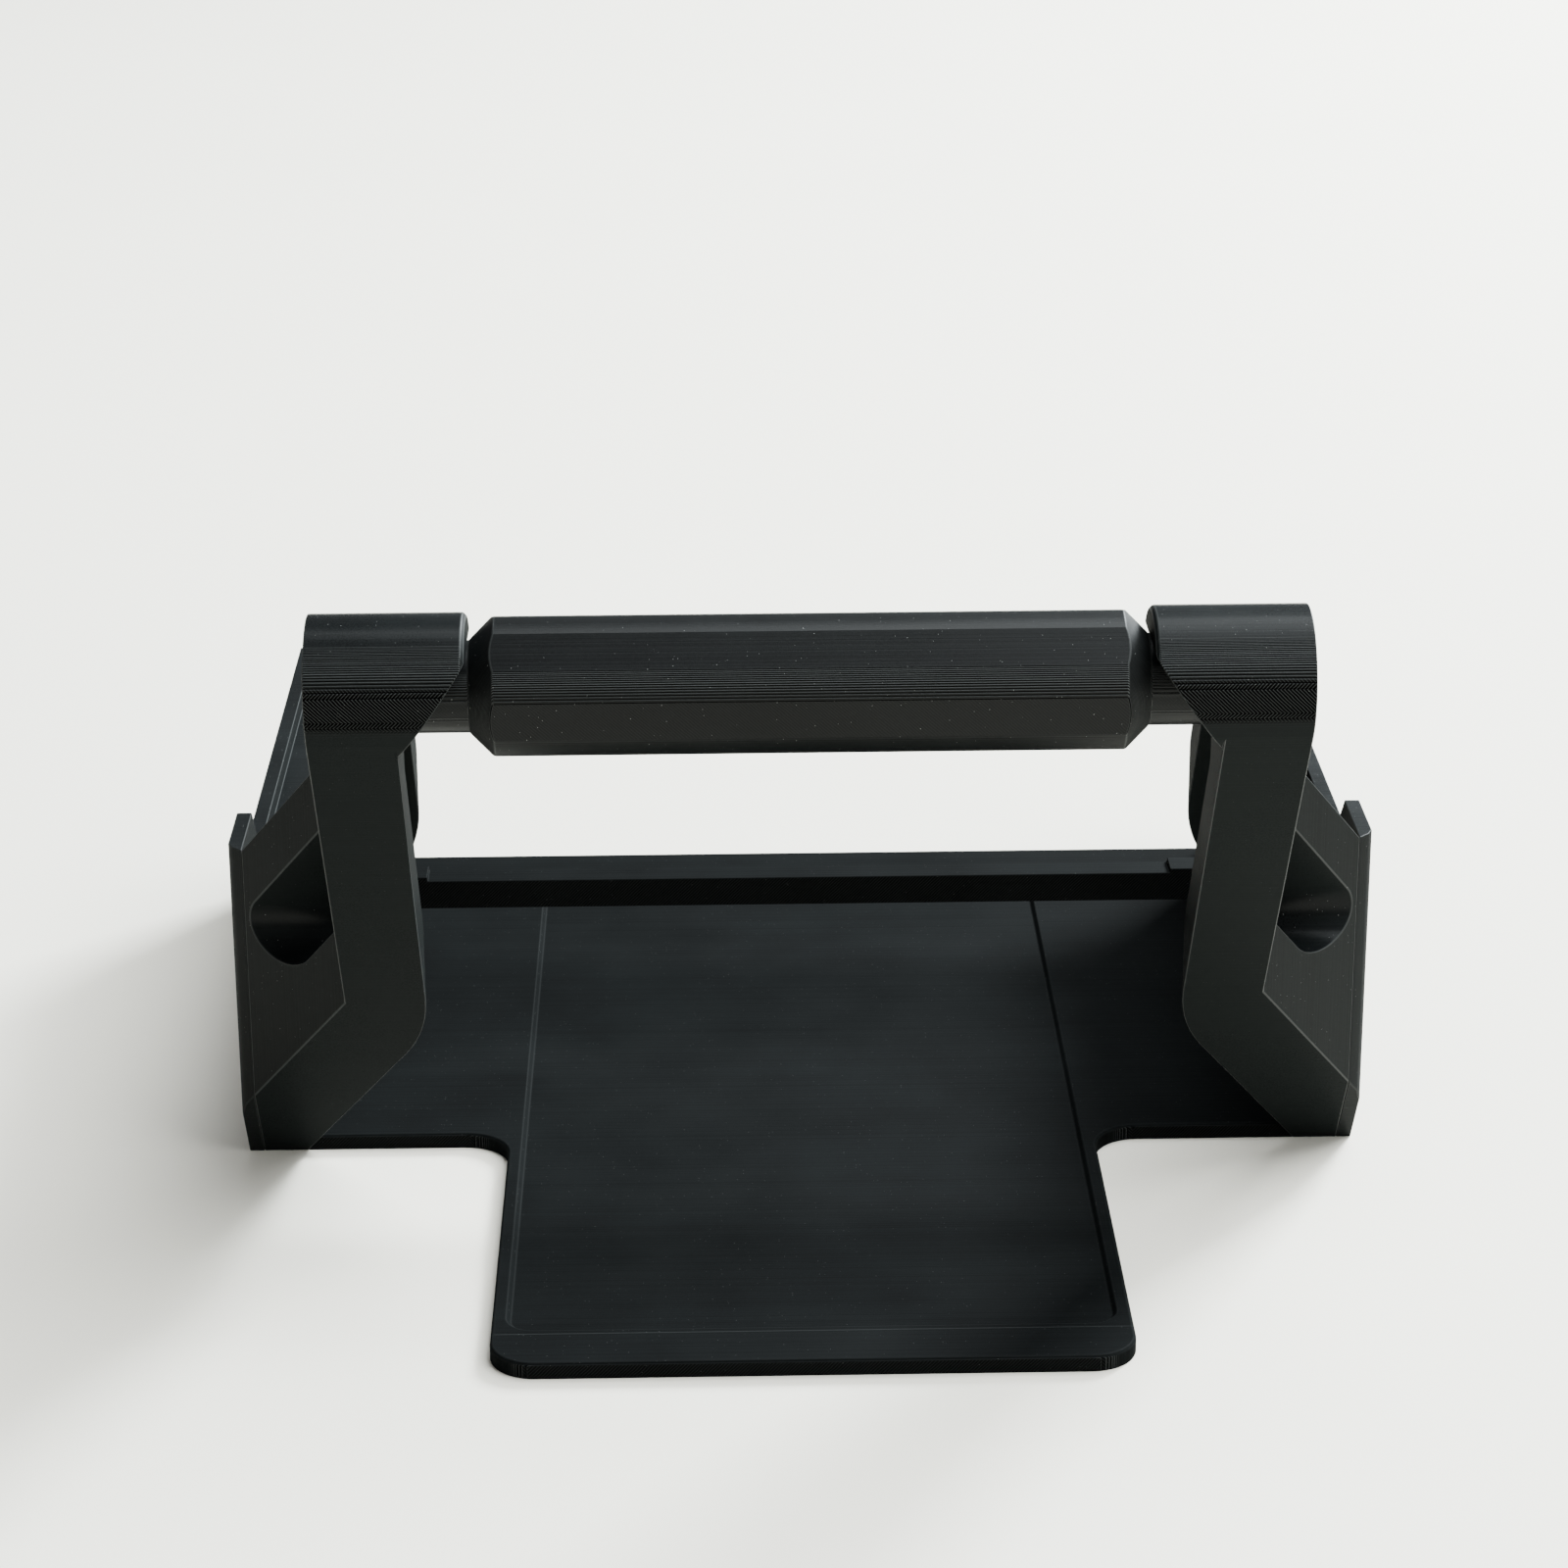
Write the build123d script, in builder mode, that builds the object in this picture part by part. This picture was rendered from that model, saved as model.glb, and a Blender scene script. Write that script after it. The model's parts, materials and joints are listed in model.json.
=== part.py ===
from build123d import *
import os
from math import acos, atan2, cos, degrees, hypot, pi, radians, sin, tan

# Main sizes in millimetres.
# The origin is on the table, at the middle of the tray's front edge; the tongue runs towards -Y.
overall_width = 208.0
body_depth = 145.0
floor_thickness = 3.0
wall_thickness = 2.8
wall_reach = 9.5
wall_edge_bevel = 1.2
rim_height = 54.5
rim_corner = 8.0
upstand_end = 18.0
seat_height = 51.0
seat_width = 10.0
seat_thickness = 5.0
rail_width = 8.0
rail_height = 8.0
fit_gap = 0.1

# Tongue and the shallow track along the floor
tongue_width = 110.0
tongue_length = 92.0
tongue_corner = 8.0
tongue_root_radius = 8.5
track_depth = 0.8
track_side_margin = 2.4
track_end_margin = 12.0
track_corner = 5.0
track_taper = 45.0

# Arms
lean_angle = 36.0
wing_angle = 45.0
arm_inset = 22.0
arm_width = 14.5
arm_bend_radius = 16.0
front_bar = 9.0
slot_width = 12.4
rear_bar = 7.1
slot_foot = 54.1
slot_head_gap = 20.7
rear_bar_end_gap = 37.3
flange_thickness = 8.0
flange_length = 24.0
flange_clearance = 1.0

# Bosses and their oblique undersides
axis_height = 115.5
boss_radius = 12.2
boss_reach = 11.5
boss_bevel = 0.6
boss_cut_rise = 6.9
boss_cut_drop = 9.9
socket_depth = 20.0

# Guide roller
roller_radius = 11.9
roller_flat_reach = 11.4
roller_flats = 6
roller_turn = 13.0
roller_taper = 45.0
roller_shoulder = 0.2
roller_side_gap = 0.45
roller_end_gap = 0.8
journal_radius = 7.6
journal_gap = 0.08
journal_bevel = 0.8

# Crossbars
bar_depth = 6.0
bar_height = 6.3
bar_relief = 0.8
bar_relief_width = 139.0
pad_depth = 10.0
pad_thickness = 3.0
near_bar_place = 13.0
far_bar_margin = 15.0

# Countersunk screws
screw_radius = 1.5
screw_head_radius = 3.0
screw_socket_width = 2.0
screw_socket_depth = 1.0
screw_length = 9.0
bar_screw_length = 7.0
screw_clearance = 0.1
screw_tip_gap = 0.5
countersink_angle = 90.0
tray_screw_margin = 20.0
tray_screws_per_side = 3
arm_screw_margin = 7.0
arm_screw_spacing = 12.0
arm_screws_per_side = 2

# Small edge bevel and the overrun of every cut
edge_break = 0.4
overrun = 2.0

# Places that follow from the sizes
half_width = overall_width / 2
wall_inside = half_width - wall_thickness
lean = radians(lean_angle)
wing = radians(wing_angle)
arm_depth = front_bar + slot_width + rear_bar
leg_outside = half_width - arm_inset
leg_inside = leg_outside - arm_width
boss_inside = leg_inside - boss_reach
axis_y = (boss_radius - axis_height * sin(lean)) / cos(lean)
axis_rise = axis_height * cos(lean) - axis_y * sin(lean)
root_front = -wall_reach - wall_thickness * tan(wing)
root_back = root_front + arm_width / cos(wing)
upstand_height = (arm_depth - root_front * cos(lean)) / sin(lean)
ledge_front = root_back + fit_gap
flange_bottom = floor_thickness + rail_height
flange_top = seat_height - seat_thickness - rail_width - flange_clearance
rail_middle = wall_inside - rail_width / 2
seat_middle = wall_inside - seat_width / 2
pad_bottom = seat_height - pad_thickness
slot_head = axis_rise - slot_head_gap
far_bar_place = body_depth - far_bar_margin
screw_head_depth = (screw_head_radius - screw_radius) / tan(radians(countersink_angle / 2))
screw_sink = screw_clearance / tan(radians(countersink_angle / 2))

os.makedirs("parts", exist_ok=True)


def leaning(behind, along):
    """(y, z) of a point by its distance behind the leaning front plane and its place along it."""
    return (behind * cos(lean) - along * sin(lean), behind * sin(lean) + along * cos(lean))


def wing_y(x, behind=0.0):
    """y at a given x of the wing's front plane, or of a plane that lies behind it."""
    return -wall_reach - (half_width - x) * tan(wing) + behind / cos(wing)


def finish(piece, name):
    """Name a finished piece and write it."""
    piece.part.label = name
    export_step(piece.part, f"parts/{name}.step")


def outward(side, y, z):
    """Plane on a wall's outer face, facing away from the body."""
    return Plane((side * half_width, y, z), z_dir=(side, 0, 0))


def downward(x, y, z):
    """Plane that faces the table."""
    return Plane((x, y, z), z_dir=(0, 0, -1))


def make_screw(length):
    """Countersunk screw below the origin, with its head's flat face in the XY plane."""
    with BuildPart() as screw:
        with BuildSketch(Plane.XZ):
            with BuildLine():
                Polyline(
                    (0, -screw_sink),
                    (screw_head_radius, -screw_sink),
                    (screw_radius, -screw_sink - screw_head_depth),
                    (screw_radius, -length),
                    (0, -length),
                    close=True,
                )
            make_face()
        revolve(axis=Axis.Z)
        with BuildSketch(Plane.XY.offset(-screw_sink)):
            RegularPolygon(radius=screw_socket_width / 2, side_count=6, major_radius=False)
        extrude(amount=-screw_socket_depth, mode=Mode.SUBTRACT)
    return screw.part


def make_screws(length, planes, name):
    """One group of equal screws, each with its head in one of the planes."""
    screw = make_screw(length)
    with BuildPart() as group:
        with Locations(*planes):
            add(screw)
    finish(group, name)


def head_holes(planes, thickness):
    """Clearance holes with countersinks on the given planes."""
    with Locations(*planes):
        CounterSinkHole(
            radius=screw_radius + screw_clearance,
            counter_sink_radius=screw_head_radius + screw_clearance,
            depth=thickness + overrun,
            counter_sink_angle=countersink_angle,
        )


def thread_holes(planes, depth):
    """Blind holes for the ends of the screws, a little deeper than the screws reach."""
    with Locations(*planes):
        Hole(radius=screw_radius, depth=depth + screw_tip_gap)


# Places of the screws
tray_screw_step = (body_depth - 2 * tray_screw_margin) / (tray_screws_per_side - 1)
tray_screw_ys = [tray_screw_margin + i * tray_screw_step for i in range(tray_screws_per_side)]
arm_screw_start = root_back + arm_screw_margin
arm_screw_ys = [arm_screw_start + i * arm_screw_spacing for i in range(arm_screws_per_side)]
arm_screw_z = (flange_bottom + flange_top) / 2
bar_places = [near_bar_place, far_bar_place]

# Base tray with its tongue, cut back at 45 degrees where the arms stand
tray_half = wall_inside - fit_gap
notch_line = wing_y(0, arm_width) + fit_gap
notch_x = -notch_line / tan(wing)
with BuildPart() as base_tray:
    with BuildSketch(Plane.XY) as tray_plan:
        with BuildLine():
            Polyline(
                (tongue_width / 2, -tongue_length),
                (tongue_width / 2, 0),
                (notch_x, 0),
                (tray_half, notch_line + tray_half * tan(wing)),
                (tray_half, body_depth),
                (-tray_half, body_depth),
                (-tray_half, notch_line + tray_half * tan(wing)),
                (-notch_x, 0),
                (-tongue_width / 2, 0),
                (-tongue_width / 2, -tongue_length),
                close=True,
            )
        make_face()
        for side in (-1, 1):
            tip = (side * tongue_width / 2, -tongue_length)
            fillet(tray_plan.vertices().sort_by_distance(tip)[0], radius=tongue_corner)
            root = (side * tongue_width / 2, 0)
            fillet(tray_plan.vertices().sort_by_distance(root)[0], radius=tongue_root_radius)
    extrude(amount=floor_thickness)
    chamfer(base_tray.faces().sort_by(Axis.Z)[-1].outer_wire().edges(), length=edge_break)
    with BuildSketch(Plane.XY.offset(floor_thickness)):
        with Locations((0, (body_depth - tongue_length) / 2)):
            RectangleRounded(
                tongue_width - 2 * track_side_margin,
                tongue_length + body_depth - 2 * track_end_margin,
                track_corner,
            )
    extrude(amount=-track_depth, taper=track_taper, mode=Mode.SUBTRACT)
    for side in (-1, 1):
        head_holes([downward(side * rail_middle, y, 0) for y in tray_screw_ys], floor_thickness)
finish(base_tray, "base_tray")


def make_side_wall(side):
    """Side wall with foot rail, seat ledge and front upstand; side is -1 on the left, 1 on the right."""
    with BuildPart() as wall:
        with BuildSketch(Plane.YZ.offset(side * wall_inside)):
            with BuildLine():
                Polyline(
                    (0, 0),
                    (root_front, -root_front / tan(lean)),
                    (root_front, upstand_height),
                    (upstand_end - upstand_height + rim_height, upstand_height),
                    (upstand_end, rim_height),
                    (body_depth - rim_corner, rim_height),
                    (body_depth, rim_height - rim_corner),
                    (body_depth, 0),
                    close=True,
                )
            make_face()
        extrude(amount=side * wall_thickness)
        with BuildSketch(Plane.XY):
            with BuildLine():
                Polyline(
                    (side * (wall_inside - overrun), wing_y(wall_inside - overrun)),
                    (side * (half_width + overrun), wing_y(half_width + overrun)),
                    (side * (half_width + overrun), root_front - overrun),
                    (side * (wall_inside - overrun), root_front - overrun),
                    close=True,
                )
            make_face()
        extrude(amount=upstand_height + overrun, mode=Mode.SUBTRACT)
        corner = (side * half_width, -wall_reach, rim_height)
        front_edge = wall.edges().filter_by(Axis.Z).sort_by_distance(corner)[0]
        chamfer(front_edge, length=wall_edge_bevel)
        with BuildSketch(Plane.XZ.offset(-ledge_front)):
            with BuildLine():
                Polyline(
                    (side * wall_inside, seat_height),
                    (side * (wall_inside - seat_width), seat_height),
                    (side * (wall_inside - seat_width), seat_height - seat_thickness),
                    (side * (wall_inside - rail_width), seat_height - seat_thickness),
                    (side * wall_inside, seat_height - seat_thickness - rail_width),
                    close=True,
                )
            make_face()
            with Locations((side * rail_middle, floor_thickness + rail_height / 2)):
                Rectangle(rail_width, rail_height)
        extrude(amount=ledge_front - body_depth)
        for place in bar_places:
            with BuildSketch(Plane.XY.offset(pad_bottom)):
                with Locations((side * (seat_middle - overrun / 2), place)):
                    Rectangle(seat_width + overrun, pad_depth + 2 * fit_gap)
            extrude(amount=pad_thickness + overrun, mode=Mode.SUBTRACT)
        seats = [Plane((side * seat_middle, y, pad_bottom)) for y in bar_places]
        thread_holes(seats, bar_screw_length - pad_thickness)
        rails = [downward(side * rail_middle, y, floor_thickness) for y in tray_screw_ys]
        thread_holes(rails, screw_length - floor_thickness)
        head_holes([outward(side, y, arm_screw_z) for y in arm_screw_ys], wall_thickness)
    return wall


def tangent_point():
    """(behind, along) where the rear bar's end meets the boss without a corner."""
    reach = hypot(arm_depth - boss_radius, rear_bar_end_gap)
    angle = atan2(-rear_bar_end_gap, arm_depth - boss_radius) + acos(boss_radius / reach)
    return (boss_radius + boss_radius * cos(angle), axis_rise + boss_radius * sin(angle))


def make_arm(side):
    """Arm: a ribbon that runs in from the wall, bends forward and leans out, with a slot and a boss."""
    with BuildPart() as arm:
        with BuildSketch(Plane.XY) as plan:
            with BuildLine():
                Polyline(
                    (side * wall_inside, root_front),
                    (side * leg_outside, wing_y(leg_outside)),
                    (side * leg_outside, axis_y - boss_radius - overrun),
                    (side * leg_inside, axis_y - boss_radius - overrun),
                    (side * leg_inside, wing_y(leg_inside, arm_width)),
                    (side * wall_inside, root_back),
                    close=True,
                )
            make_face()
            bend = (side * leg_inside, wing_y(leg_inside, arm_width))
            fillet(plan.vertices().sort_by_distance(bend)[0], radius=arm_bend_radius)
        extrude(amount=axis_height + boss_radius + overrun)
        with BuildSketch(Plane.YZ):
            with BuildLine():
                Polyline(
                    leaning(0, 0),
                    leaning(0, axis_rise),
                    leaning(boss_radius, axis_rise),
                    leaning(*tangent_point()),
                    leaning(arm_depth, axis_rise - rear_bar_end_gap),
                    leaning(arm_depth, -arm_depth * tan(lean)),
                    close=True,
                )
            make_face()
            with Locations((axis_y, axis_height)):
                Circle(boss_radius)
            with Locations(leaning(front_bar + slot_width / 2, (slot_foot + slot_head) / 2)):
                SlotCenterToCenter(
                    slot_head - slot_foot,
                    slot_width,
                    rotation=degrees(pi / 2) + lean_angle,
                    mode=Mode.SUBTRACT,
                )
        extrude(amount=half_width, both=True, mode=Mode.INTERSECT)
        with BuildSketch(Plane.YZ.offset(side * boss_inside)):
            with Locations((axis_y, axis_height)):
                Circle(boss_radius)
        extrude(amount=side * (boss_reach + arm_width))
        boss_top = (side * boss_inside, axis_y, axis_height + boss_radius)
        inner_rim = arm.edges().filter_by(GeomType.CIRCLE).sort_by_distance(boss_top)[0]
        chamfer(inner_rim, length=boss_bevel)
        with BuildSketch(Plane.XZ.offset(-axis_y)):
            slope = (boss_cut_rise + boss_cut_drop) / boss_reach
            low = axis_height - boss_radius - overrun
            with BuildLine():
                Polyline(
                    (side * (boss_inside - overrun), axis_height + boss_cut_rise + slope * overrun),
                    (side * leg_inside, axis_height - boss_cut_drop),
                    (side * leg_inside, low),
                    (side * (boss_inside - overrun), low),
                    close=True,
                )
            make_face()
        extrude(amount=boss_radius + overrun, both=True, mode=Mode.SUBTRACT)
        with BuildSketch(Plane.YZ.offset(side * boss_inside)):
            with Locations((axis_y, axis_height)):
                Circle(journal_radius + journal_gap)
        extrude(amount=side * socket_depth, mode=Mode.SUBTRACT)
        with BuildSketch(Plane.XY.offset(flange_bottom)):
            with BuildLine():
                inner = wall_inside - flange_thickness
                Polyline(
                    (side * wall_inside, root_back - overrun),
                    (side * wall_inside, root_back + flange_length),
                    (side * inner, root_back + flange_length),
                    (side * inner, wing_y(inner, arm_width) - overrun),
                    close=True,
                )
            make_face()
        extrude(amount=flange_top - flange_bottom)
        entry = [(side * wall_inside, y, arm_screw_z) for y in arm_screw_ys]
        thread_holes([Plane(point, z_dir=(side, 0, 0)) for point in entry], screw_length - wall_thickness)
    return arm


# Side walls, arms and the screws that join them
for side, word in ((-1, "left"), (1, "right")):
    finish(make_side_wall(side), f"{word}_side_wall")
    finish(make_arm(side), f"{word}_arm")
    arm_screw_heads = [outward(side, y, arm_screw_z) for y in arm_screw_ys]
    make_screws(screw_length, arm_screw_heads, f"{word}_arm_screws")
make_screws(
    screw_length,
    [downward(side * rail_middle, y, 0) for side in (-1, 1) for y in tray_screw_ys],
    "tray_screws",
)


def make_crossbar(place):
    """Bar between the walls with a thin pad at each end that lies in a recess of the seat ledges."""
    clear_half = wall_inside - seat_width - fit_gap
    pad_half = wall_inside - fit_gap
    with BuildPart() as bar:
        with BuildSketch(Plane.XY.offset(seat_height)):
            with Locations((0, place)):
                Rectangle(2 * clear_half, bar_depth)
        extrude(amount=-bar_height)
        with BuildSketch(Plane.XY.offset(seat_height)):
            with Locations((0, place)):
                Rectangle(bar_relief_width, bar_depth)
        extrude(amount=-bar_relief, mode=Mode.SUBTRACT)
        for side in (-1, 1):
            with BuildSketch(Plane.XY.offset(seat_height)):
                with Locations((side * (pad_half + clear_half - pad_depth / 2) / 2, place)):
                    Rectangle(pad_half - clear_half + pad_depth / 2, pad_depth)
            extrude(amount=-pad_thickness)
        head_holes([Plane((side * seat_middle, place, seat_height)) for side in (-1, 1)], pad_thickness)
    return bar


finish(make_crossbar(near_bar_place), "near_crossbar")
finish(make_crossbar(far_bar_place), "far_crossbar")
make_screws(
    bar_screw_length,
    [Plane((side * seat_middle, y, seat_height)) for side in (-1, 1) for y in bar_places],
    "crossbar_screws",
)

# Guide roller: a cylinder with six flats, two conical ends and a journal in each boss
taper_length = (roller_radius - journal_radius - roller_shoulder) / tan(radians(roller_taper))
taper_end = boss_inside - roller_side_gap
barrel_half = taper_end - taper_length
journal_end = boss_inside + socket_depth - roller_end_gap
cone_reach = roller_radius + overrun
cone_start = barrel_half - overrun / tan(radians(roller_taper))
axis_point = (0, axis_y, axis_height)
with BuildPart() as guide_roller:
    with BuildSketch(Plane.YZ):
        with Locations((axis_y, axis_height)):
            Circle(roller_radius)
            RegularPolygon(
                radius=roller_flat_reach,
                side_count=roller_flats,
                major_radius=False,
                rotation=roller_turn - degrees(pi / roller_flats),
                mode=Mode.INTERSECT,
            )
    extrude(amount=taper_end, both=True)
    with BuildSketch(Plane(axis_point, x_dir=(1, 0, 0), z_dir=(0, -1, 0))):
        with BuildLine():
            Polyline(
                (-taper_end, 0),
                (-taper_end, journal_radius + roller_shoulder),
                (-cone_start, cone_reach),
                (cone_start, cone_reach),
                (taper_end, journal_radius + roller_shoulder),
                (taper_end, 0),
                close=True,
            )
        make_face()
    revolve(axis=Axis(axis_point, (1, 0, 0)), mode=Mode.INTERSECT)
    for side in (-1, 1):
        with BuildSketch(Plane.YZ.offset(side * barrel_half)):
            with Locations((axis_y, axis_height)):
                Circle(journal_radius)
        extrude(amount=side * (journal_end - barrel_half))
    ends = guide_roller.faces().sort_by(Axis.X)
    chamfer(ends[0].edges() + ends[-1].edges(), length=journal_bevel)
finish(guide_roller, "guide_roller")
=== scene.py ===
"""Looks of a printed stand with two slotted arms and a free-rolling guide roller."""
import json
import math

import bmesh
import bpy
import numpy as np
from bpy.props import FloatProperty, FloatVectorProperty, PointerProperty
from bpy.types import Operator, Panel, PropertyGroup
from mathutils import Matrix, Vector


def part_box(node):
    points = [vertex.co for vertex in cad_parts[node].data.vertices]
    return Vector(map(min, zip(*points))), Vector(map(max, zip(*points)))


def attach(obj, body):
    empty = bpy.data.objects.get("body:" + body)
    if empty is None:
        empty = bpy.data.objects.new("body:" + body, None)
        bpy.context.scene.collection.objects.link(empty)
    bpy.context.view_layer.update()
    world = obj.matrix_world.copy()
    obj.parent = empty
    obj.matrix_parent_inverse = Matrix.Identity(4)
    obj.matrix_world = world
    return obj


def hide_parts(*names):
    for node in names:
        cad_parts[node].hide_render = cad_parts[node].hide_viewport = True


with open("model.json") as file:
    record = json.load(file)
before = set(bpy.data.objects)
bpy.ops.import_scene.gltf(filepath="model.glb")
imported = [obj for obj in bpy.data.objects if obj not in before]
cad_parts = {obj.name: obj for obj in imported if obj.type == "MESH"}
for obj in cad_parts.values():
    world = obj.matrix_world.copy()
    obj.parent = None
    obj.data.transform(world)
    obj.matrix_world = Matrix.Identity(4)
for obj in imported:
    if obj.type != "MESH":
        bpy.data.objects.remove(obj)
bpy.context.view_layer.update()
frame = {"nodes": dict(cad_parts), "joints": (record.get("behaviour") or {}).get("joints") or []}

bl_info = {
    "name": "Printed Roller Stand",
    "version": (1, 0, 0),
    "blender": (4, 5, 0),
    "location": "View3D > Sidebar > Stand",
    "description": "Dresses the packed stand in printed plastic and sets up its stage",
    "category": "Object",
}

MM = 0.001
X_AXIS = (1.0, 0.0, 0.0)
AXIS_POINT = Vector(frame["joints"][0]["pos_m"])

# The finish of each kind of piece:
# tone: lightness of the plastic
# shine: strength of its reflection
# dull: share of matte plastic where the surface faces down
# roughness: mean roughness of the reflection
# lines: slope from which the layer lines show
# threads: strength of the slanting threads, with a painted highlight on their crests and painted shade
# on the flat surface between them
# reach: how many layers in from the outermost one lines and threads are seen
# seam: number of the layer whose rim also gets a painted highlight on surface that faces up, or 1 for
# none
# edges: how much paler the rounded edges are, a painted highlight
# specks: strength of the light specks
FINISHES = {
    "arm": {
        "tone": 1.6, "shine": 0.055, "dull": 0.85, "roughness": 0.29, "lines": 0.58, "threads": 1.0,
        "reach": 30.0, "seam": -23.0, "edges": 0.25, "specks": 1.0,
    },
    "wall": {
        "tone": 1.5, "shine": 0.045, "dull": 0.5, "roughness": 0.38, "lines": 0.8, "threads": 0.0,
        "reach": 30.0, "seam": 1.0, "edges": 0.1, "specks": 0.8,
    },
    "tray": {
        "tone": 1.0, "shine": 0.015, "dull": 0.0, "roughness": 0.6, "lines": 0.8, "threads": 0.3,
        "reach": 2000.0, "seam": 1.0, "edges": 0.03, "specks": 0.3,
    },
    "roller": {
        "tone": 1.0, "shine": 0.085, "dull": 0.0, "roughness": 0.36, "lines": 0.62, "threads": 0.1,
        "reach": 200.0, "seam": 1.0, "edges": 0.2, "specks": 1.0,
    },
}

# Where smooth steps begin and end, over the slope and the rise of the surface. The slope is 0
# where it runs along the layers' build and 1 where it faces along it. The rise is -1 where it
# faces down, 0 where it stands upright and 1 where it faces up.
LINES_FADE = 0.15
LINES_END_SLOPE = (0.975, 0.995)
LINES_RISE = (-0.45, 0.1)
THREADS_SLOPE = (0.94, 0.975)
SEAM_RISE = (0.2, 0.5)
DULL_RISE = (-0.55, 0.05)
# The same over the layers past the reach, over the width of a rim, from the middle of a groove to
# the crest of a thread, over the distance from a speck, and over the chance of a speck.
REACH_FADE = 6.0
RIM_FADE = (0.6, 1.1)
CORNER_FADE = (0.4, 1.3)
THREAD_CREST = (0.5, 0.95)
SPECK_FADE = (0.03, 0.08)
SPECK_CHANCE = (0.1, 0.8)

# Size of the noise that bends the lines and threads, how it is squeezed along each axis, and how
# far it bends them, in layers and in threads.
WAVE_SIZE = 0.9 * MM
WAVE_SQUEEZE = (0.22, 1.0, 1.0)
LINE_WAVER = 0.07
THREAD_WAVER = 0.5
# Sizes of the clouds and the grain of the plastic.
CLOUD_SIZE = 22 * MM
GRAIN_SIZE = 0.3 * MM
# A face between two layers belongs to the one behind it, by this share of a layer.
FACE_INSET = 0.1
# Just over 1, so that a rim keeps some width where the surface faces along the layers' build.
STEEPEST = 1.002

# Shares of the plastic's tone in its deepest and its palest shade.
DEEP, PALE = 0.1, 2.0
# How far each trait moves the shade, the roughness and the height, which is in millimetres.
# The flat share is painted shade: surface that faces along the layers' build is made darker.
SHADE = {"cloud": 0.4, "layer": 0.14, "grain": 0.2, "flat": -0.4}
ROUGHNESS = {"cloud": 0.12, "grain": 0.1, "sideways": 0.35}
HEIGHT = {"layer": 0.01, "thread": 0.06, "specks": 0.05, "grain": 0.006}
# Painted highlights: how pale the rims are, what chance adds to that by layer, and how pale seam and
# threads are.
RIM_HIGHLIGHT, RIM_HIGHLIGHT_CHANCE, SEAM_HIGHLIGHT, THREAD_HIGHLIGHT = 0.28, 0.18, 0.2, 0.4
# How much painted shade darkens the corners between layers, and the grooves between threads.
CORNER_SHADE, GROOVE_SHADE = 0.95, 0.85
# Surface that faces sideways has this share of its finish's dullness.
SIDEWAYS_DULL = 0.7
# Tones of the matte plastic, and of corners and grooves that no light reaches.
MATTE_TONE = (0.0062, 0.0074, 0.0073)
BLACK = (0.0, 0.0, 0.0)

# The steel of the screws: deep and pale tone, sizes of grain and clouds, roughness from the
# smoothest to the roughest grain, and how high the grain stands in millimetres.
STEEL_TONES = (0.035, 0.035, 0.04), (0.09, 0.09, 0.095)
STEEL_GRAIN, STEEL_CLOUD = 0.25 * MM, 2 * MM
STEEL_ROUGHNESS = (0.3, 0.5)
STEEL_RELIEF = 0.02
# The floor board: size of its clouds, its roughness, and its tone's share in the deepest cloud.
BOARD_CLOUD = 0.2
BOARD_ROUGHNESS = 0.75
BOARD_DEEP = 0.985
# Noise at which a cloud of steel or board begins and is complete.
CLOUD_FADE = (0.3, 0.7)

# Points closer than this are one: in a mesh made here, and in the copy of a node.
GRID_MERGE, NODE_MERGE = 0.002 * MM, 0.001 * MM
# Faces that differ by less than this are one flat face.
FLAT_ANGLE = math.radians(0.4)
# From the first angle on an edge is a crease, and from the second on it is rounded.
CREASE_ANGLE, ROUNDED_ANGLE = math.radians(12), math.radians(28)
# The roller: its flats, the points along each flat and each arc, and the places of the rings of
# its body, as shares of the way from the middle to the cone.
FLATS = 6
STRIP_POINTS = 12
BODY_RINGS = (0.75, 0.5, 0.25, 0.0)

# Half the floor board's side, the even light from all around, the width of the camera's sensor in
# millimetres, and the nearest distance that it sees.
FLOOR_HALF = 6.0
SKY_TONE = (0.95, 0.97, 1.0)
SKY_STRENGTH = 0.3
SENSOR_WIDTH = 36.0
NEAREST_SEEN = 0.01
# Square lights: name, place, the point each is turned to, width, power and colour.
LIGHTS = (
    ("key", (1.45, 1.9, 1.35), (0, -0.1, 0.05), 0.7, 330.0, (0.92, 1.0, 1.03)),
    ("soft", (0.75, 0.25, 1.6), (0, -0.1, 0.05), 1.8, 120.0, (0.94, 1.0, 1.02)),
    ("front", (1.4, -1.2, 1.1), (0, -0.2, 0.0), 1.2, 24.0, (0.95, 1.0, 1.0)),
)


class PrintSettings(PropertyGroup):
    """How the plastic was laid down."""

    layer: FloatProperty(
        name="Layer height", description="Thickness of one printed layer",
        default=0.2 * MM, unit="LENGTH", precision=5)
    thread: FloatProperty(
        name="Thread width", description="Spacing of the plastic threads on a flat top layer",
        default=0.62 * MM, unit="LENGTH", precision=5)
    edge: FloatProperty(
        name="Edge rounding", description="Width of the rounding on the printed edges",
        default=0.2 * MM, unit="LENGTH", precision=5)
    tone: FloatVectorProperty(
        name="Plastic tone", description="Colour of the black plastic",
        default=(0.0026, 0.0031, 0.0032), subtype="COLOR", min=0, max=1)
    worn: FloatVectorProperty(
        name="Speck tone", description="Colour of the small light specks",
        default=(0.24, 0.25, 0.24), subtype="COLOR", min=0, max=1)
    # The colour of the painted highlight on rims, seam, thread crests and edges.
    highlight_tone: FloatVectorProperty(
        name="Highlight tone", description="Colour of the painted highlights on rims, seam, threads and edges",
        default=(0.070, 0.075, 0.074), subtype="COLOR", min=0, max=1)
    speck: FloatProperty(
        name="Speck spacing", description="Mean distance between two specks",
        default=1.0 * MM, unit="LENGTH", precision=5)
    rim: FloatProperty(
        name="Rim width", description="Width of a layer's rounded rim",
        default=0.2 * MM, unit="LENGTH", precision=5)


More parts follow.
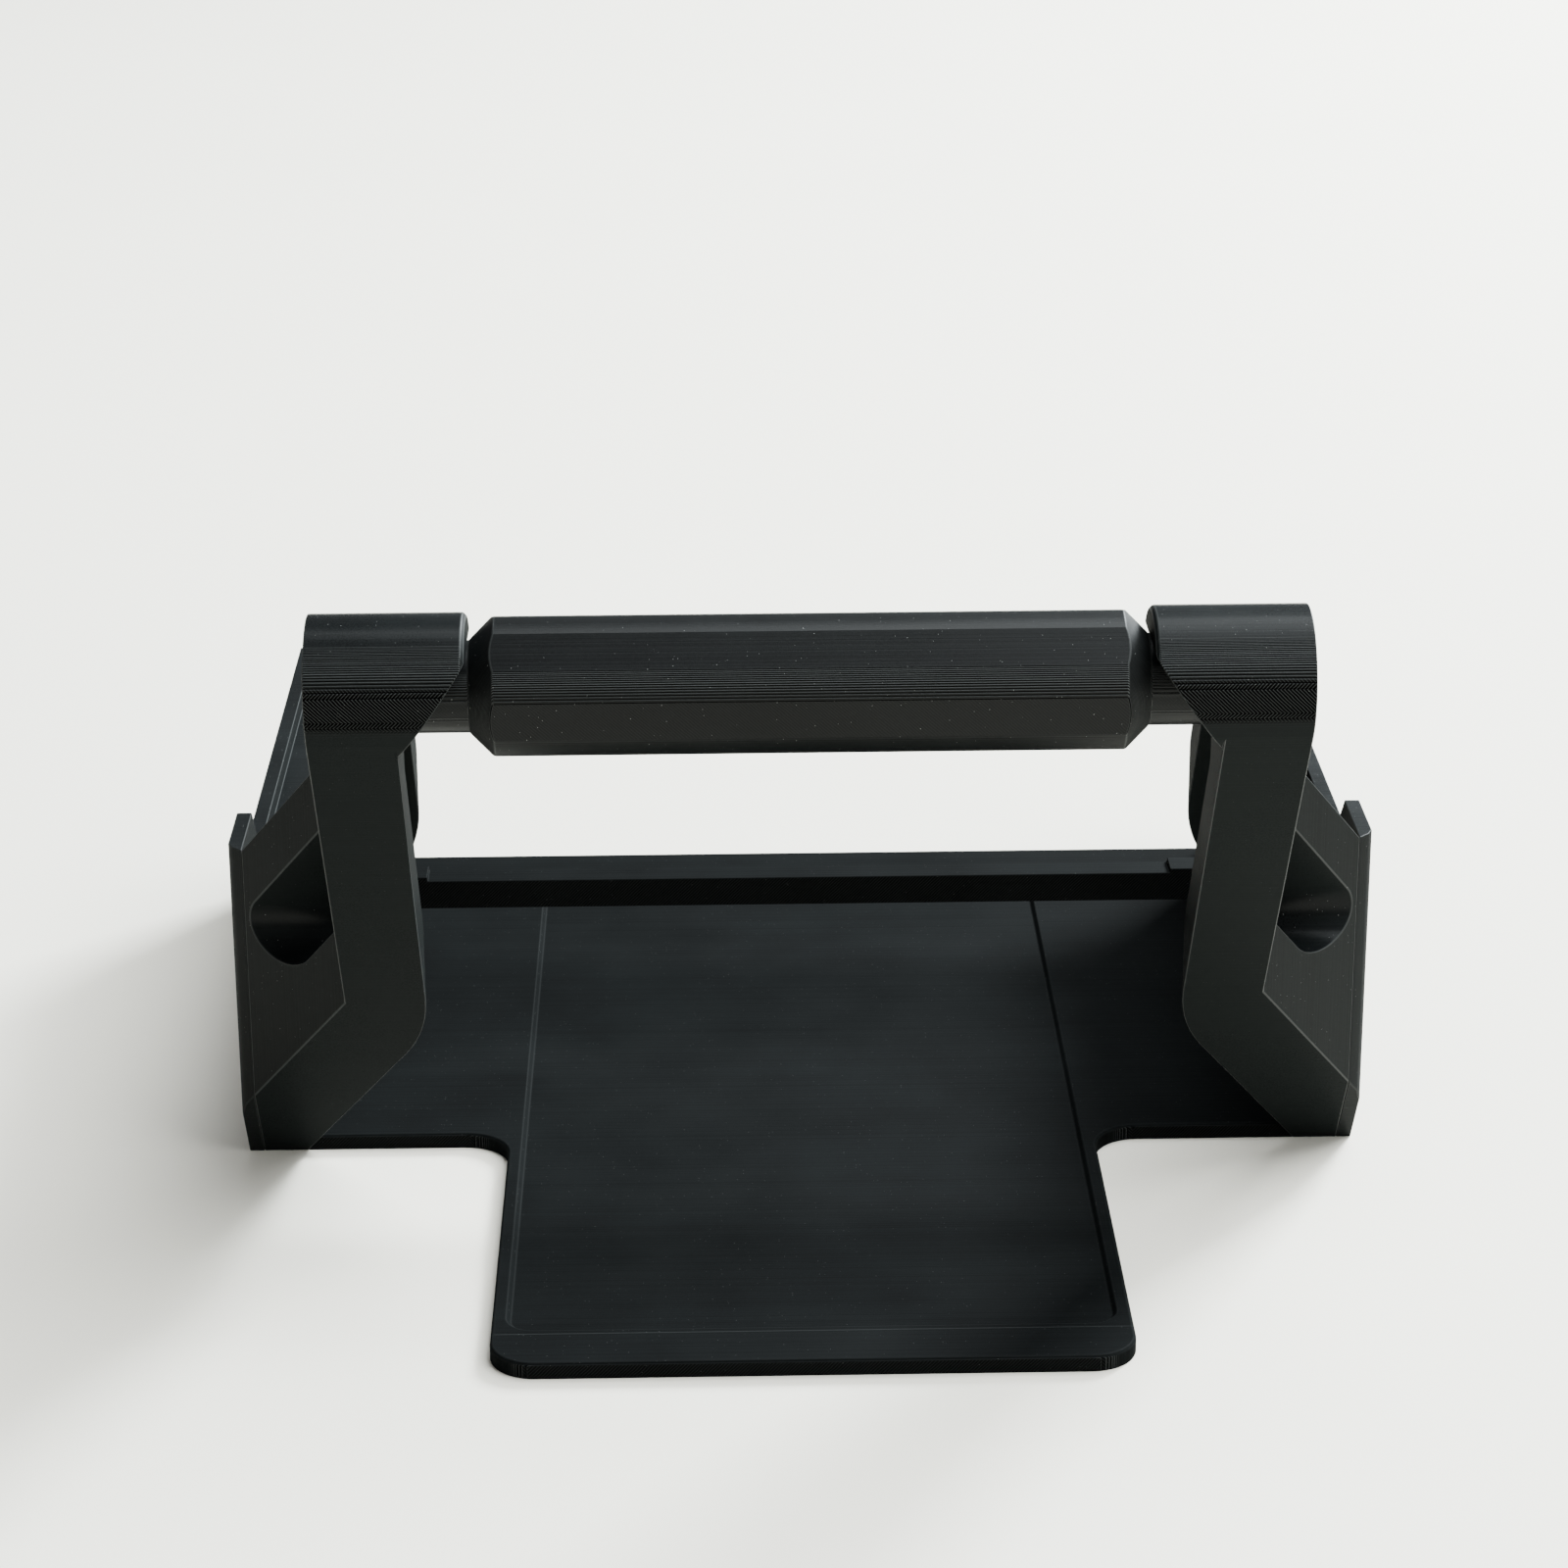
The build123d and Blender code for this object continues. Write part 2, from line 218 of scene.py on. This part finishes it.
class RollerSettings(PropertyGroup):
    """Section of the guide roller."""

    flat_reach: FloatProperty(
        name="Flat reach", description="From the axis to each of the six flats",
        default=11.4 * MM, unit="LENGTH", precision=5)
    radius: FloatProperty(
        name="Radius", description="From the axis to the round strips between the flats",
        default=11.9 * MM, unit="LENGTH", precision=5)
    turn: FloatProperty(
        name="Turn", description="How far the first flat looks down from level",
        default=math.radians(13.0), subtype="ANGLE")
    border: FloatProperty(
        name="Layer border", description="From the first flat out to the next border between two layers",
        default=0.175 * MM, unit="LENGTH", precision=5)
    journal: FloatProperty(
        name="Journal radius", description="Radius of the ends that turn in the arms",
        default=7.6 * MM, unit="LENGTH", precision=5)
    taper_end: FloatProperty(
        name="Taper end", description="From the middle to the end of each cone",
        default=55.55 * MM, unit="LENGTH", precision=5)
    shoulder: FloatProperty(
        name="Shoulder", description="Step between journal and cone",
        default=0.2 * MM, unit="LENGTH", precision=5)
    journal_bevel: FloatProperty(
        name="Journal bevel", description="Bevel at the end of each journal",
        default=0.8 * MM, unit="LENGTH", precision=5)


class StageSettings(PropertyGroup):
    """Floor and camera."""

    floor: FloatVectorProperty(
        name="Floor tone", description="Colour of the pale floor",
        default=(0.84, 0.80, 0.70), subtype="COLOR", min=0, max=1)
    camera_place: FloatVectorProperty(
        name="Camera place", description="Where the camera stands",
        default=(-16.22 * MM, -723.84 * MM, 338.83 * MM), subtype="TRANSLATION", unit="LENGTH")
    yaw: FloatProperty(
        name="Yaw", description="Turn of the view to the right",
        default=math.radians(1.05), subtype="ANGLE")
    pitch: FloatProperty(
        name="Pitch", description="Tilt of the view below level",
        default=math.radians(20.2), subtype="ANGLE")
    roll: FloatProperty(
        name="Roll", description="Roll of the view",
        default=math.radians(-0.3), subtype="ANGLE")
    lens: FloatProperty(
        name="Lens", description="Focal length on a sensor 36 mm wide", default=96.75)


def connect(tree, socket, value):
    """Link a wrapped socket to an input, or set the input to a plain value."""
    if isinstance(value, Wire):
        tree.links.new(value.socket, socket)
    else:
        socket.default_value = value


class Wire:
    """A shader output; sums and products of it add Math nodes to its tree."""

    def __init__(self, socket):
        self.socket = socket
        self.tree = socket.id_data

    def node(self, kind, settings=None, inputs=None, output=0):
        """Add a node: its type, its settings, its inputs' values or links, and the output to use."""
        return add_node(self.tree, kind, settings, inputs, output)

    def math(self, operation, *values):
        """Add a Math node that works on the given values in their order."""
        return self.node("ShaderNodeMath", {"operation": operation}, dict(enumerate(values)))

    def __add__(self, other):
        return self.math("ADD", self, other)

    def __radd__(self, other):
        return self.math("ADD", other, self)

    def __sub__(self, other):
        return self.math("SUBTRACT", self, other)

    def __rsub__(self, other):
        return self.math("SUBTRACT", other, self)

    def __mul__(self, other):
        return self.math("MULTIPLY", self, other)

    def __rmul__(self, other):
        return self.math("MULTIPLY", other, self)

    def __truediv__(self, other):
        return self.math("DIVIDE", self, other)

    def __rtruediv__(self, other):
        return self.math("DIVIDE", other, self)

    def __abs__(self):
        return self.math("ABSOLUTE", self)

    def ramp(self, low, high, to_low=0.0, to_high=1.0):
        """Smooth step from low to high."""
        inputs = {"Value": self, "From Min": low, "From Max": high, "To Min": to_low, "To Max": to_high}
        return self.node("ShaderNodeMapRange", {"interpolation_type": "SMOOTHSTEP"}, inputs)

    def blend(self, first, second):
        """Colour between first and second, by this factor."""
        inputs = {"Factor": self, 6: first, 7: second}
        return self.node("ShaderNodeMix", {"data_type": "RGBA"}, inputs, 2)


def add_node(tree, kind, settings=None, inputs=None, output=0):
    """Add a node to a tree, settings first, and wrap one of its outputs."""
    made = tree.nodes.new(kind)
    for key, value in (settings or {}).items():
        setattr(made, key, value)
    for key, value in (inputs or {}).items():
        connect(tree, made.inputs[key], value)
    return Wire(made.outputs[output])


def new_material(name):
    """Empty node material and its output's surface input."""
    material = bpy.data.materials.new(name)
    material.use_nodes = True
    material.node_tree.nodes.clear()
    end = material.node_tree.nodes.new("ShaderNodeOutputMaterial")
    return material, end.inputs["Surface"]


def rgba(tone, share=1.0):
    """Opaque colour of a tone times a share."""
    return [channel * share for channel in tone] + [1.0]


def along(vector, direction):
    """Dot product of a vector wire with a fixed direction."""
    settings = {"operation": "DOT_PRODUCT"}
    return vector.node("ShaderNodeVectorMath", settings, {0: vector, 1: direction}, "Value")


def noise(place, size, detail):
    """Noise around one half, whose features have about the given size."""
    inputs = {"Vector": place, "Scale": 1 / size, "Detail": detail}
    return place.node("ShaderNodeTexNoise", None, inputs)


def chance_of(number):
    """Random value between 0 and 1 for each whole number."""
    return number.node("ShaderNodeTexWhiteNoise", {"noise_dimensions": "1D"}, {"W": number})


def relief(height):
    """Normal of a surface raised by a height in millimetres."""
    inputs = {"Height": height, "Distance": MM, "Strength": 1.0}
    return height.node("ShaderNodeBump", None, inputs)


def moved(start, traits, shares):
    """Sum of a start and of each trait times its share."""
    for trait, share in shares.items():
        start = start + traits[trait] * share
    return start


class PrintedSurface:
    """Where a point of a printed piece lies among its layers, and how its surface lies to them.

    build is the direction in which the layers were stacked, and across the one, at right angles
    to it and to X, that points up. The depth of a point is its place along build, in layers from
    the outermost border and so negative. Rounded down it is the number of the point's layer, and
    the rest is the point's place inside the layer. A rim keeps its width on the surface, so its
    share of a layer is the rim's width over the layer's height, times the sine of the angle
    between the surface's normal and build.
    """

    def __init__(self, tree, build, across, outermost, finish):
        look = bpy.context.scene.print_settings
        self.across = across
        self.finish = finish
        self.place = add_node(tree, "ShaderNodeTexCoord", output="Object")
        normal = add_node(tree, "ShaderNodeTexCoord", output="Normal")
        facing = along(normal, build)
        self.slope = abs(facing)
        self.rise = along(normal, across)
        self.sideways = abs(along(normal, X_AXIS))
        sine_squared = STEEPEST - self.slope * self.slope
        sine = sine_squared.math("SQRT", sine_squared)
        self.rim = sine * (look.rim / look.layer)
        inputs = {0: self.place, 1: WAVE_SQUEEZE}
        squeezed = self.place.node("ShaderNodeVectorMath", {"operation": "MULTIPLY"}, inputs)
        self.wave = noise(squeezed, WAVE_SIZE, detail=2.0) - 0.5
        depth = (along(self.place, build) - outermost) * (1 / look.layer) - facing * FACE_INSET
        depth = depth + self.wave * sine * LINE_WAVER
        self.number = depth.math("FLOOR", depth)
        self.inside = depth - self.number
        self.near = depth.ramp(-finish["reach"] - REACH_FADE, -finish["reach"])

    def lines(self):
        """Strength of the layer lines, which carry the steps' bump and their painted highlight and
        shade: by slope, by rise, and none past the reach.
        """
        start = self.finish["lines"]
        lines = self.slope.ramp(start, start + LINES_FADE)
        lines = lines * self.slope.ramp(*LINES_END_SLOPE, 1.0, 0.0)
        return lines * self.rise.ramp(*LINES_RISE) * self.near

    def threads(self):
        """Share of surface that faces along build, and the crests of the threads on it.

        A point's place among the threads is X plus its place along across on odd layers, and minus
        it on even ones, in widths of a thread. A crest is where that is a whole number.
        """
        width = bpy.context.scene.print_settings.thread
        flat = self.slope.ramp(*THREADS_SLOPE) * self.finish["threads"] * self.near
        side = self.number.math("PINGPONG", self.number, 1.0) * 2.0 - 1.0
        lying = (along(self.place, X_AXIS) + side * along(self.place, self.across)) * (1 / width)
        lying = lying + self.wave * THREAD_WAVER
        crest = abs(lying.math("FRACT", lying) - 0.5) * 2.0
        return flat, crest.ramp(*THREAD_CREST) * flat

    def specks(self):
        """Small spots, one in each cell of a Voronoi pattern; by chance some are faint or missing."""
        cell = {"Vector": self.place, "Scale": 1 / bpy.context.scene.print_settings.speck}
        distance = self.place.node("ShaderNodeTexVoronoi", None, cell, "Distance")
        colour = self.place.node("ShaderNodeTexVoronoi", None, cell, "Color")
        chance = colour.node("ShaderNodeSeparateColor", None, {"Color": colour}, "Red")
        spots = distance.ramp(*SPECK_FADE, 1.0, 0.0) * chance.ramp(*SPECK_CHANCE)
        return spots * self.finish["specks"]


def printed_plastic(name, build, across, outermost, finish, edges=False):
    """Black printed plastic.

    The surface is raised into steps. Seen from the outermost layer inwards, each layer ends in a
    rounded rim with a painted highlight, paler where it faces up, and the next one starts in a
    corner darkened with painted shade. The lines spread out where the surface turns to face along
    build, and there the slanting threads of the layer itself show, one way on even layers and the
    other way on odd ones; their crests carry a painted highlight, and that surface is darkened with
    painted shade, most between the crests. Surface that faces down or sideways is partly matte.
    On edges the whole plastic is paler, a painted highlight, and none of it is matte.
    """
    look = bpy.context.scene.print_settings
    material, surface = new_material(name)
    tree = material.node_tree
    point = PrintedSurface(tree, build, across, outermost, finish)
    lines, specks = point.lines(), point.specks()
    flat, thread = point.threads()
    chance = chance_of(point.number)
    traits = {
        "cloud": noise(point.place, CLOUD_SIZE, detail=3.0) - 0.5,
        "grain": noise(point.place, GRAIN_SIZE, detail=2.0) - 0.5,
        "layer": chance - 0.5,
        "flat": flat,
        "thread": thread,
        "specks": specks,
        "sideways": point.sideways,
    }

    # Masks inside each layer: the raised part, the rim that gets a painted highlight, and the corner
    # that gets painted shade.
    raised = (point.inside / point.rim).ramp(0.0, 1.0)
    rim = (point.inside / point.rim).ramp(*RIM_FADE, 1.0, 0.0)
    corner = ((1.0 - point.inside) / point.rim).ramp(*CORNER_FADE, 1.0, 0.0)
    seam = point.number.math("COMPARE", point.number, finish["seam"], 0.5) * point.rise.ramp(*SEAM_RISE)
    # Painted highlight: rims that face up, the seam's rim, the thread crests and the edges are made
    # paler.
    painted_highlight = rim * (lines * (RIM_HIGHLIGHT + chance * RIM_HIGHLIGHT_CHANCE) + seam * SEAM_HIGHLIGHT)
    painted_highlight = painted_highlight + thread * THREAD_HIGHLIGHT + (finish["edges"] if edges else 0.0)

    shades = [rgba(look.tone, share * finish["tone"]) for share in (DEEP, PALE)]
    # Painted shade: the flat trait darkens surface that faces along the layers' build.
    colour = moved(0.5, traits, SHADE).ramp(0.0, 1.0).blend(*shades)
    colour = specks.blend(painted_highlight.blend(colour, rgba(look.highlight_tone)), rgba(look.worn))
    step = (raised - point.inside) * lines * point.slope * (look.layer / MM)
    plastic = colour.node("ShaderNodeBsdfPrincipled", None, {
        "Base Color": colour,
        "Roughness": moved(finish["roughness"], traits, ROUGHNESS),
        "Normal": relief(moved(step, traits, HEIGHT)),
        "Specular IOR Level": finish["shine"],
    })
    if not edges:
        matte = colour.node("ShaderNodeBsdfDiffuse", None, {"Color": rgba(MATTE_TONE)})
        dull = point.rise.ramp(*DULL_RISE, finish["dull"], 0.0)
        dull = dull + point.sideways * finish["dull"] * SIDEWAYS_DULL
        plastic = colour.node("ShaderNodeMixShader", None, {0: dull, 1: plastic, 2: matte})
    # Painted shade: the corners between layers and the flat surface between thread crests are mixed
    # toward black.
    painted_shade_bsdf = colour.node("ShaderNodeBsdfDiffuse", None, {"Color": rgba(BLACK)})
    shaded = corner * lines * CORNER_SHADE + (flat - thread) * GROOVE_SHADE
    connect(tree, surface, colour.node("ShaderNodeMixShader", None, {0: shaded, 1: plastic, 2: painted_shade_bsdf}))
    return material


def dark_steel(name):
    """Oxidised steel, a little cloudy and grained."""
    material, surface = new_material(name)
    tree = material.node_tree
    place = add_node(tree, "ShaderNodeTexCoord", output="Object")
    grain = noise(place, STEEL_GRAIN, detail=3.0)
    cloud = noise(place, STEEL_CLOUD, detail=2.0)
    smooth, rough = STEEL_ROUGHNESS
    connect(tree, surface, place.node("ShaderNodeBsdfPrincipled", None, {
        "Base Color": cloud.ramp(*CLOUD_FADE).blend(*map(rgba, STEEL_TONES)),
        "Roughness": smooth + grain * (rough - smooth),
        "Normal": relief((grain - 0.5) * STEEL_RELIEF),
        "Metallic": 1.0,
    }))
    return material


def floor_finish(name):
    """Pale matte board with a trace of cloudiness."""
    material, surface = new_material(name)
    tree = material.node_tree
    tone = bpy.context.scene.stage_settings.floor
    place = add_node(tree, "ShaderNodeTexCoord", output="Object")
    cloud = noise(place, BOARD_CLOUD, detail=2.0)
    connect(tree, surface, place.node("ShaderNodeBsdfPrincipled", None, {
        "Base Color": cloud.ramp(*CLOUD_FADE).blend(rgba(tone, BOARD_DEEP), rgba(tone)),
        "Roughness": BOARD_ROUGHNESS,
    }))
    return material


def plastic_pair(kind, build, across, outermost):
    """Plastic of a kind of piece for its faces and for its edges, each made once."""
    finish = FINISHES[kind]
    pair = []
    for part in ("plastic", "edges"):
        name = f"{kind}_{part}"
        made = bpy.data.materials.get(name)
        pair.append(made or printed_plastic(name, build, across, outermost, finish, part == "edges"))
    return pair


def new_object(name, mesh, materials, body):
    """Link a finished mesh as an object that rides on a body.

    Its materials are those of its faces and of its edges.
    """
    piece = bpy.data.objects.new(name, mesh)
    bpy.context.scene.collection.objects.link(piece)
    mesh.materials.clear()
    for material in materials:
        mesh.materials.append(material)
    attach(piece, body)
    return piece


def grid_mesh(name, points):
    """Mesh of a closed tube: points[i, j] is point j around ring i, and both ends are closed flat."""
    rings, around = points.shape[:2]
    ring, turn = np.meshgrid(np.arange(rings - 1), np.arange(around), indexing="ij")
    after = (turn + 1) % around
    quads = np.stack([
        ring * around + turn,
        (ring + 1) * around + turn,
        (ring + 1) * around + after,
        ring * around + after,
    ], axis=-1).reshape(-1, 4)
    mesh = bpy.data.meshes.new(name)
    caps = [list(range(around)), list(range(rings * around - 1, (rings - 1) * around - 1, -1))]
    mesh.from_pydata(points.reshape(-1, 3).tolist(), [], quads.tolist() + caps)
    shell = bmesh.new()
    shell.from_mesh(mesh)
    bmesh.ops.remove_doubles(shell, verts=shell.verts, dist=GRID_MERGE)
    bmesh.ops.recalc_face_normals(shell, faces=shell.faces)
    shell.to_mesh(mesh)
    shell.free()
    mesh.shade_smooth()
    mesh.set_sharp_from_angle(angle=CREASE_ANGLE)
    return mesh


def printed_copy(node, kind):
    """Replace a fixed node by its own shape with slightly rounded edges, in printed plastic.

    The layers of the fixed pieces are stacked toward -Y, out to the front of the arms.
    """
    mesh = bpy.data.meshes.new(node + "_print")
    shell = bmesh.new()
    shell.from_mesh(frame["nodes"][node].data)
    bmesh.ops.remove_doubles(shell, verts=shell.verts, dist=NODE_MERGE)
    bmesh.ops.dissolve_limit(shell, angle_limit=FLAT_ANGLE, verts=shell.verts, edges=shell.edges)
    shell.to_mesh(mesh)
    shell.free()
    stale = mesh.attributes.get("custom_normal")
    if stale:
        mesh.attributes.remove(stale)
    mesh.shade_smooth()
    plastics = plastic_pair(kind, (0, -1, 0), (0, 0, 1), -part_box("left_arm")[0].y)
    piece = new_object(node + "_print", mesh, plastics, "stand")
    round_edges(piece)
    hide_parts(node)


def flatted_outline(radius, reach):
    """Angles and radii of a circle with evenly spaced flats, the first of which faces angle zero.

    A flat ends where its line at the given reach meets the circle, at an angle whose cosine is
    reach / radius. Each flat and each arc between two flats has its points at even angles.
    """
    end = math.acos(reach / radius)
    sector = math.tau / FLATS
    flat = np.linspace(-end, end, STRIP_POINTS, endpoint=False)
    arc = np.linspace(end, sector - end, STRIP_POINTS, endpoint=False)
    distance = np.concatenate([reach / np.cos(flat), radius * np.ones_like(arc)])
    angle = np.concatenate([flat, arc])[None, :] + sector * np.arange(FLATS)[:, None]
    return angle.ravel(), np.tile(distance, FLATS)


def roller_points(settings):
    """Rings of the roller from end to end.

    Each point around the axis has its own profile along X: the journal, the shoulder, the cone
    and the flat or arc. The cone ends where its radius reaches that of the body, so the edge
    between them is round at the arcs and curves outward at the flats.
    """
    half_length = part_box("guide_roller")[1].x
    journal, taper_end = settings.journal, settings.taper_end
    shoulder, bevel = settings.shoulder, settings.journal_bevel
    angle, reach = flatted_outline(settings.radius, settings.flat_reach)
    level = np.ones_like(reach)
    cone_end = taper_end - (reach - journal - shoulder)
    stations = [
        (half_length * level, (journal - bevel) * level),
        ((half_length - bevel) * level, journal * level),
        (taper_end * level, journal * level),
        (taper_end * level, (journal + shoulder) * level),
        (cone_end, reach),
        *((share * cone_end, reach) for share in BODY_RINGS),
    ]
    x, radius = (np.array(column) for column in zip(*stations))
    x = np.concatenate([x, -x[-2::-1]])
    radius = np.concatenate([radius, radius[-2::-1]])
    turned = angle + settings.turn
    y = AXIS_POINT.y - radius * np.cos(turned)
    z = AXIS_POINT.z - radius * np.sin(turned)
    return np.stack([x, y, z], axis=-1)


def round_edges(piece):
    """Round the edges of a piece a little, keeping its flats flat."""
    bevel = piece.modifiers.new("edges", "BEVEL")
    bevel.limit_method = "ANGLE"
    bevel.angle_limit = ROUNDED_ANGLE
    bevel.width = bpy.context.scene.print_settings.edge
    bevel.segments = 2
    bevel.use_clamp_overlap = False
    bevel.harden_normals = True
    bevel.material = 1


class STAND_OT_tray(Operator):
    """Dress the base tray."""

    bl_idname = "stand.tray"
    bl_label = "Base tray"

    def execute(self, context):
        printed_copy("base_tray", "tray")
        return {"FINISHED"}


class STAND_OT_walls(Operator):
    """Dress the two side walls."""

    bl_idname = "stand.walls"
    bl_label = "Side walls"

    def execute(self, context):
        for side in ("left", "right"):
            printed_copy(f"{side}_side_wall", "wall")
        return {"FINISHED"}


class STAND_OT_arms(Operator):
    """Dress the two slotted arms with their bosses."""

    bl_idname = "stand.arms"
    bl_label = "Arms"

    def execute(self, context):
        for side in ("left", "right"):
            printed_copy(f"{side}_arm", "arm")
        return {"FINISHED"}


class STAND_OT_crossbars(Operator):
    """Dress the two crossbars."""

    bl_idname = "stand.crossbars"
    bl_label = "Crossbars"

    def execute(self, context):
        for place in ("near", "far"):
            printed_copy(f"{place}_crossbar", "tray")
        return {"FINISHED"}


class STAND_OT_roller(Operator):
    """Make the guide roller; its layers are stacked toward its first flat."""

    bl_idname = "stand.roller"
    bl_label = "Guide roller"

    def execute(self, context):
        settings = context.scene.roller_settings
        mesh = grid_mesh("guide_roller_print", roller_points(settings))
        build = (0.0, -math.cos(settings.turn), -math.sin(settings.turn))
        across = (0.0, -math.sin(settings.turn), math.cos(settings.turn))
        outermost = AXIS_POINT.dot(Vector(build)) + settings.flat_reach + settings.border
        plastics = plastic_pair("roller", build, across, outermost)
        piece = new_object("guide_roller_print", mesh, plastics, "roller")
        round_edges(piece)
        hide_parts("guide_roller")
        return {"FINISHED"}


class STAND_OT_screws(Operator):
    """Give the countersunk screws their dark steel."""

    bl_idname = "stand.screws"
    bl_label = "Screws"

    def execute(self, context):
        steel = dark_steel("oxidised_steel")
        for node in ("left_arm_screws", "right_arm_screws", "tray_screws", "crossbar_screws"):
            mesh = frame["nodes"][node].data
            mesh.materials.clear()
            mesh.materials.append(steel)
        return {"FINISHED"}


def add_floor():
    """Square board around the origin, at the height of the stand's foot."""
    corners = [(x * FLOOR_HALF, y * FLOOR_HALF, 0) for x, y in ((-1, -1), (1, -1), (1, 1), (-1, 1))]
    mesh = bpy.data.meshes.new("floor")
    mesh.from_pydata(corners, [], [(0, 1, 2, 3)])
    mesh.materials.append(floor_finish("floor_board"))
    floor = bpy.data.objects.new("floor", mesh)
    bpy.context.scene.collection.objects.link(floor)


def add_light(name, place, aim, width, power, colour):
    """Square soft light at a place, turned to a point."""
    lamp = bpy.data.lights.new(name, "AREA")
    lamp.shape = "SQUARE"
    lamp.size = width
    lamp.energy = power
    lamp.color = colour
    holder = bpy.data.objects.new(name, lamp)
    bpy.context.scene.collection.objects.link(holder)
    holder.location = place
    holder.rotation_euler = (Vector(aim) - Vector(place)).to_track_quat("-Z", "Y").to_euler()


def add_sky():
    """Faint even light from all around."""
    sky = bpy.data.worlds.new("studio")
    sky.use_nodes = True
    background = sky.node_tree.nodes["Background"]
    background.inputs["Color"].default_value = rgba(SKY_TONE)
    background.inputs["Strength"].default_value = SKY_STRENGTH
    bpy.context.scene.world = sky


def camera_axes(yaw, pitch, roll):
    """Matrix of the camera's right, top and backward directions.

    Forward is +Y turned right by the yaw and down by the pitch. Level and up are at right angles
    to it, level without any height. The roll turns these two about forward.
    """
    forward = Vector((
        math.cos(pitch) * math.sin(yaw),
        math.cos(pitch) * math.cos(yaw),
        -math.sin(pitch),
    ))
    level = Vector((math.cos(yaw), -math.sin(yaw), 0.0))
    up = level.cross(forward)
    right = math.cos(roll) * level + math.sin(roll) * up
    top = math.cos(roll) * up - math.sin(roll) * level
    return Matrix((right, top, -forward)).transposed().to_4x4()


def add_camera(stage):
    """Camera that sees the stand from the settings' place and angles."""
    lens = bpy.data.cameras.new("camera")
    lens.sensor_width = SENSOR_WIDTH
    lens.lens = stage.lens
    lens.clip_start = NEAREST_SEEN
    camera = bpy.data.objects.new("camera", lens)
    bpy.context.scene.collection.objects.link(camera)
    axes = camera_axes(stage.yaw, stage.pitch, stage.roll)
    camera.matrix_world = Matrix.Translation(Vector(stage.camera_place)) @ axes
    bpy.context.scene.camera = camera


class STAND_OT_stage(Operator):
    """Set up the pale floor, the soft light and the camera."""

    bl_idname = "stand.stage"
    bl_label = "Stage"

    def execute(self, context):
        add_floor()
        for light in LIGHTS:
            add_light(*light)
        add_sky()
        add_camera(context.scene.stage_settings)
        return {"FINISHED"}


class STAND_PT_panel(Panel):
    """Lists the pieces and their settings."""

    bl_idname = "STAND_PT_panel"
    bl_label = "Printed Roller Stand"
    bl_space_type = "VIEW_3D"
    bl_region_type = "UI"
    bl_category = "Stand"

    def draw(self, context):
        for setting in SETTINGS:
            group = getattr(context.scene, setting)
            box = self.layout.box()
            for name in group.__annotations__:
                box.prop(group, name)
        for operator in PIECES:
            self.layout.operator(operator.bl_idname)


PIECES = (
    STAND_OT_tray,
    STAND_OT_walls,
    STAND_OT_arms,
    STAND_OT_crossbars,
    STAND_OT_roller,
    STAND_OT_screws,
    STAND_OT_stage,
)
SETTINGS = {
    "print_settings": PrintSettings,
    "roller_settings": RollerSettings,
    "stage_settings": StageSettings,
}


def register():
    """Register the classes and put the settings on the scene."""
    for group in SETTINGS.values():
        bpy.utils.register_class(group)
    for item in (*PIECES, STAND_PT_panel):
        bpy.utils.register_class(item)
    for name, group in SETTINGS.items():
        setattr(bpy.types.Scene, name, PointerProperty(type=group))


def unregister():
    """Undo register, in the reverse order."""
    for name in SETTINGS:
        delattr(bpy.types.Scene, name)
    for item in (STAND_PT_panel, *reversed(PIECES), *reversed(SETTINGS.values())):
        bpy.utils.unregister_class(item)


def main():
    """Make every piece in order."""
    register()
    for operator in PIECES:
        group, name = operator.bl_idname.split(".")
        getattr(getattr(bpy.ops, group), name)()


if __name__ == "__main__":
    main()
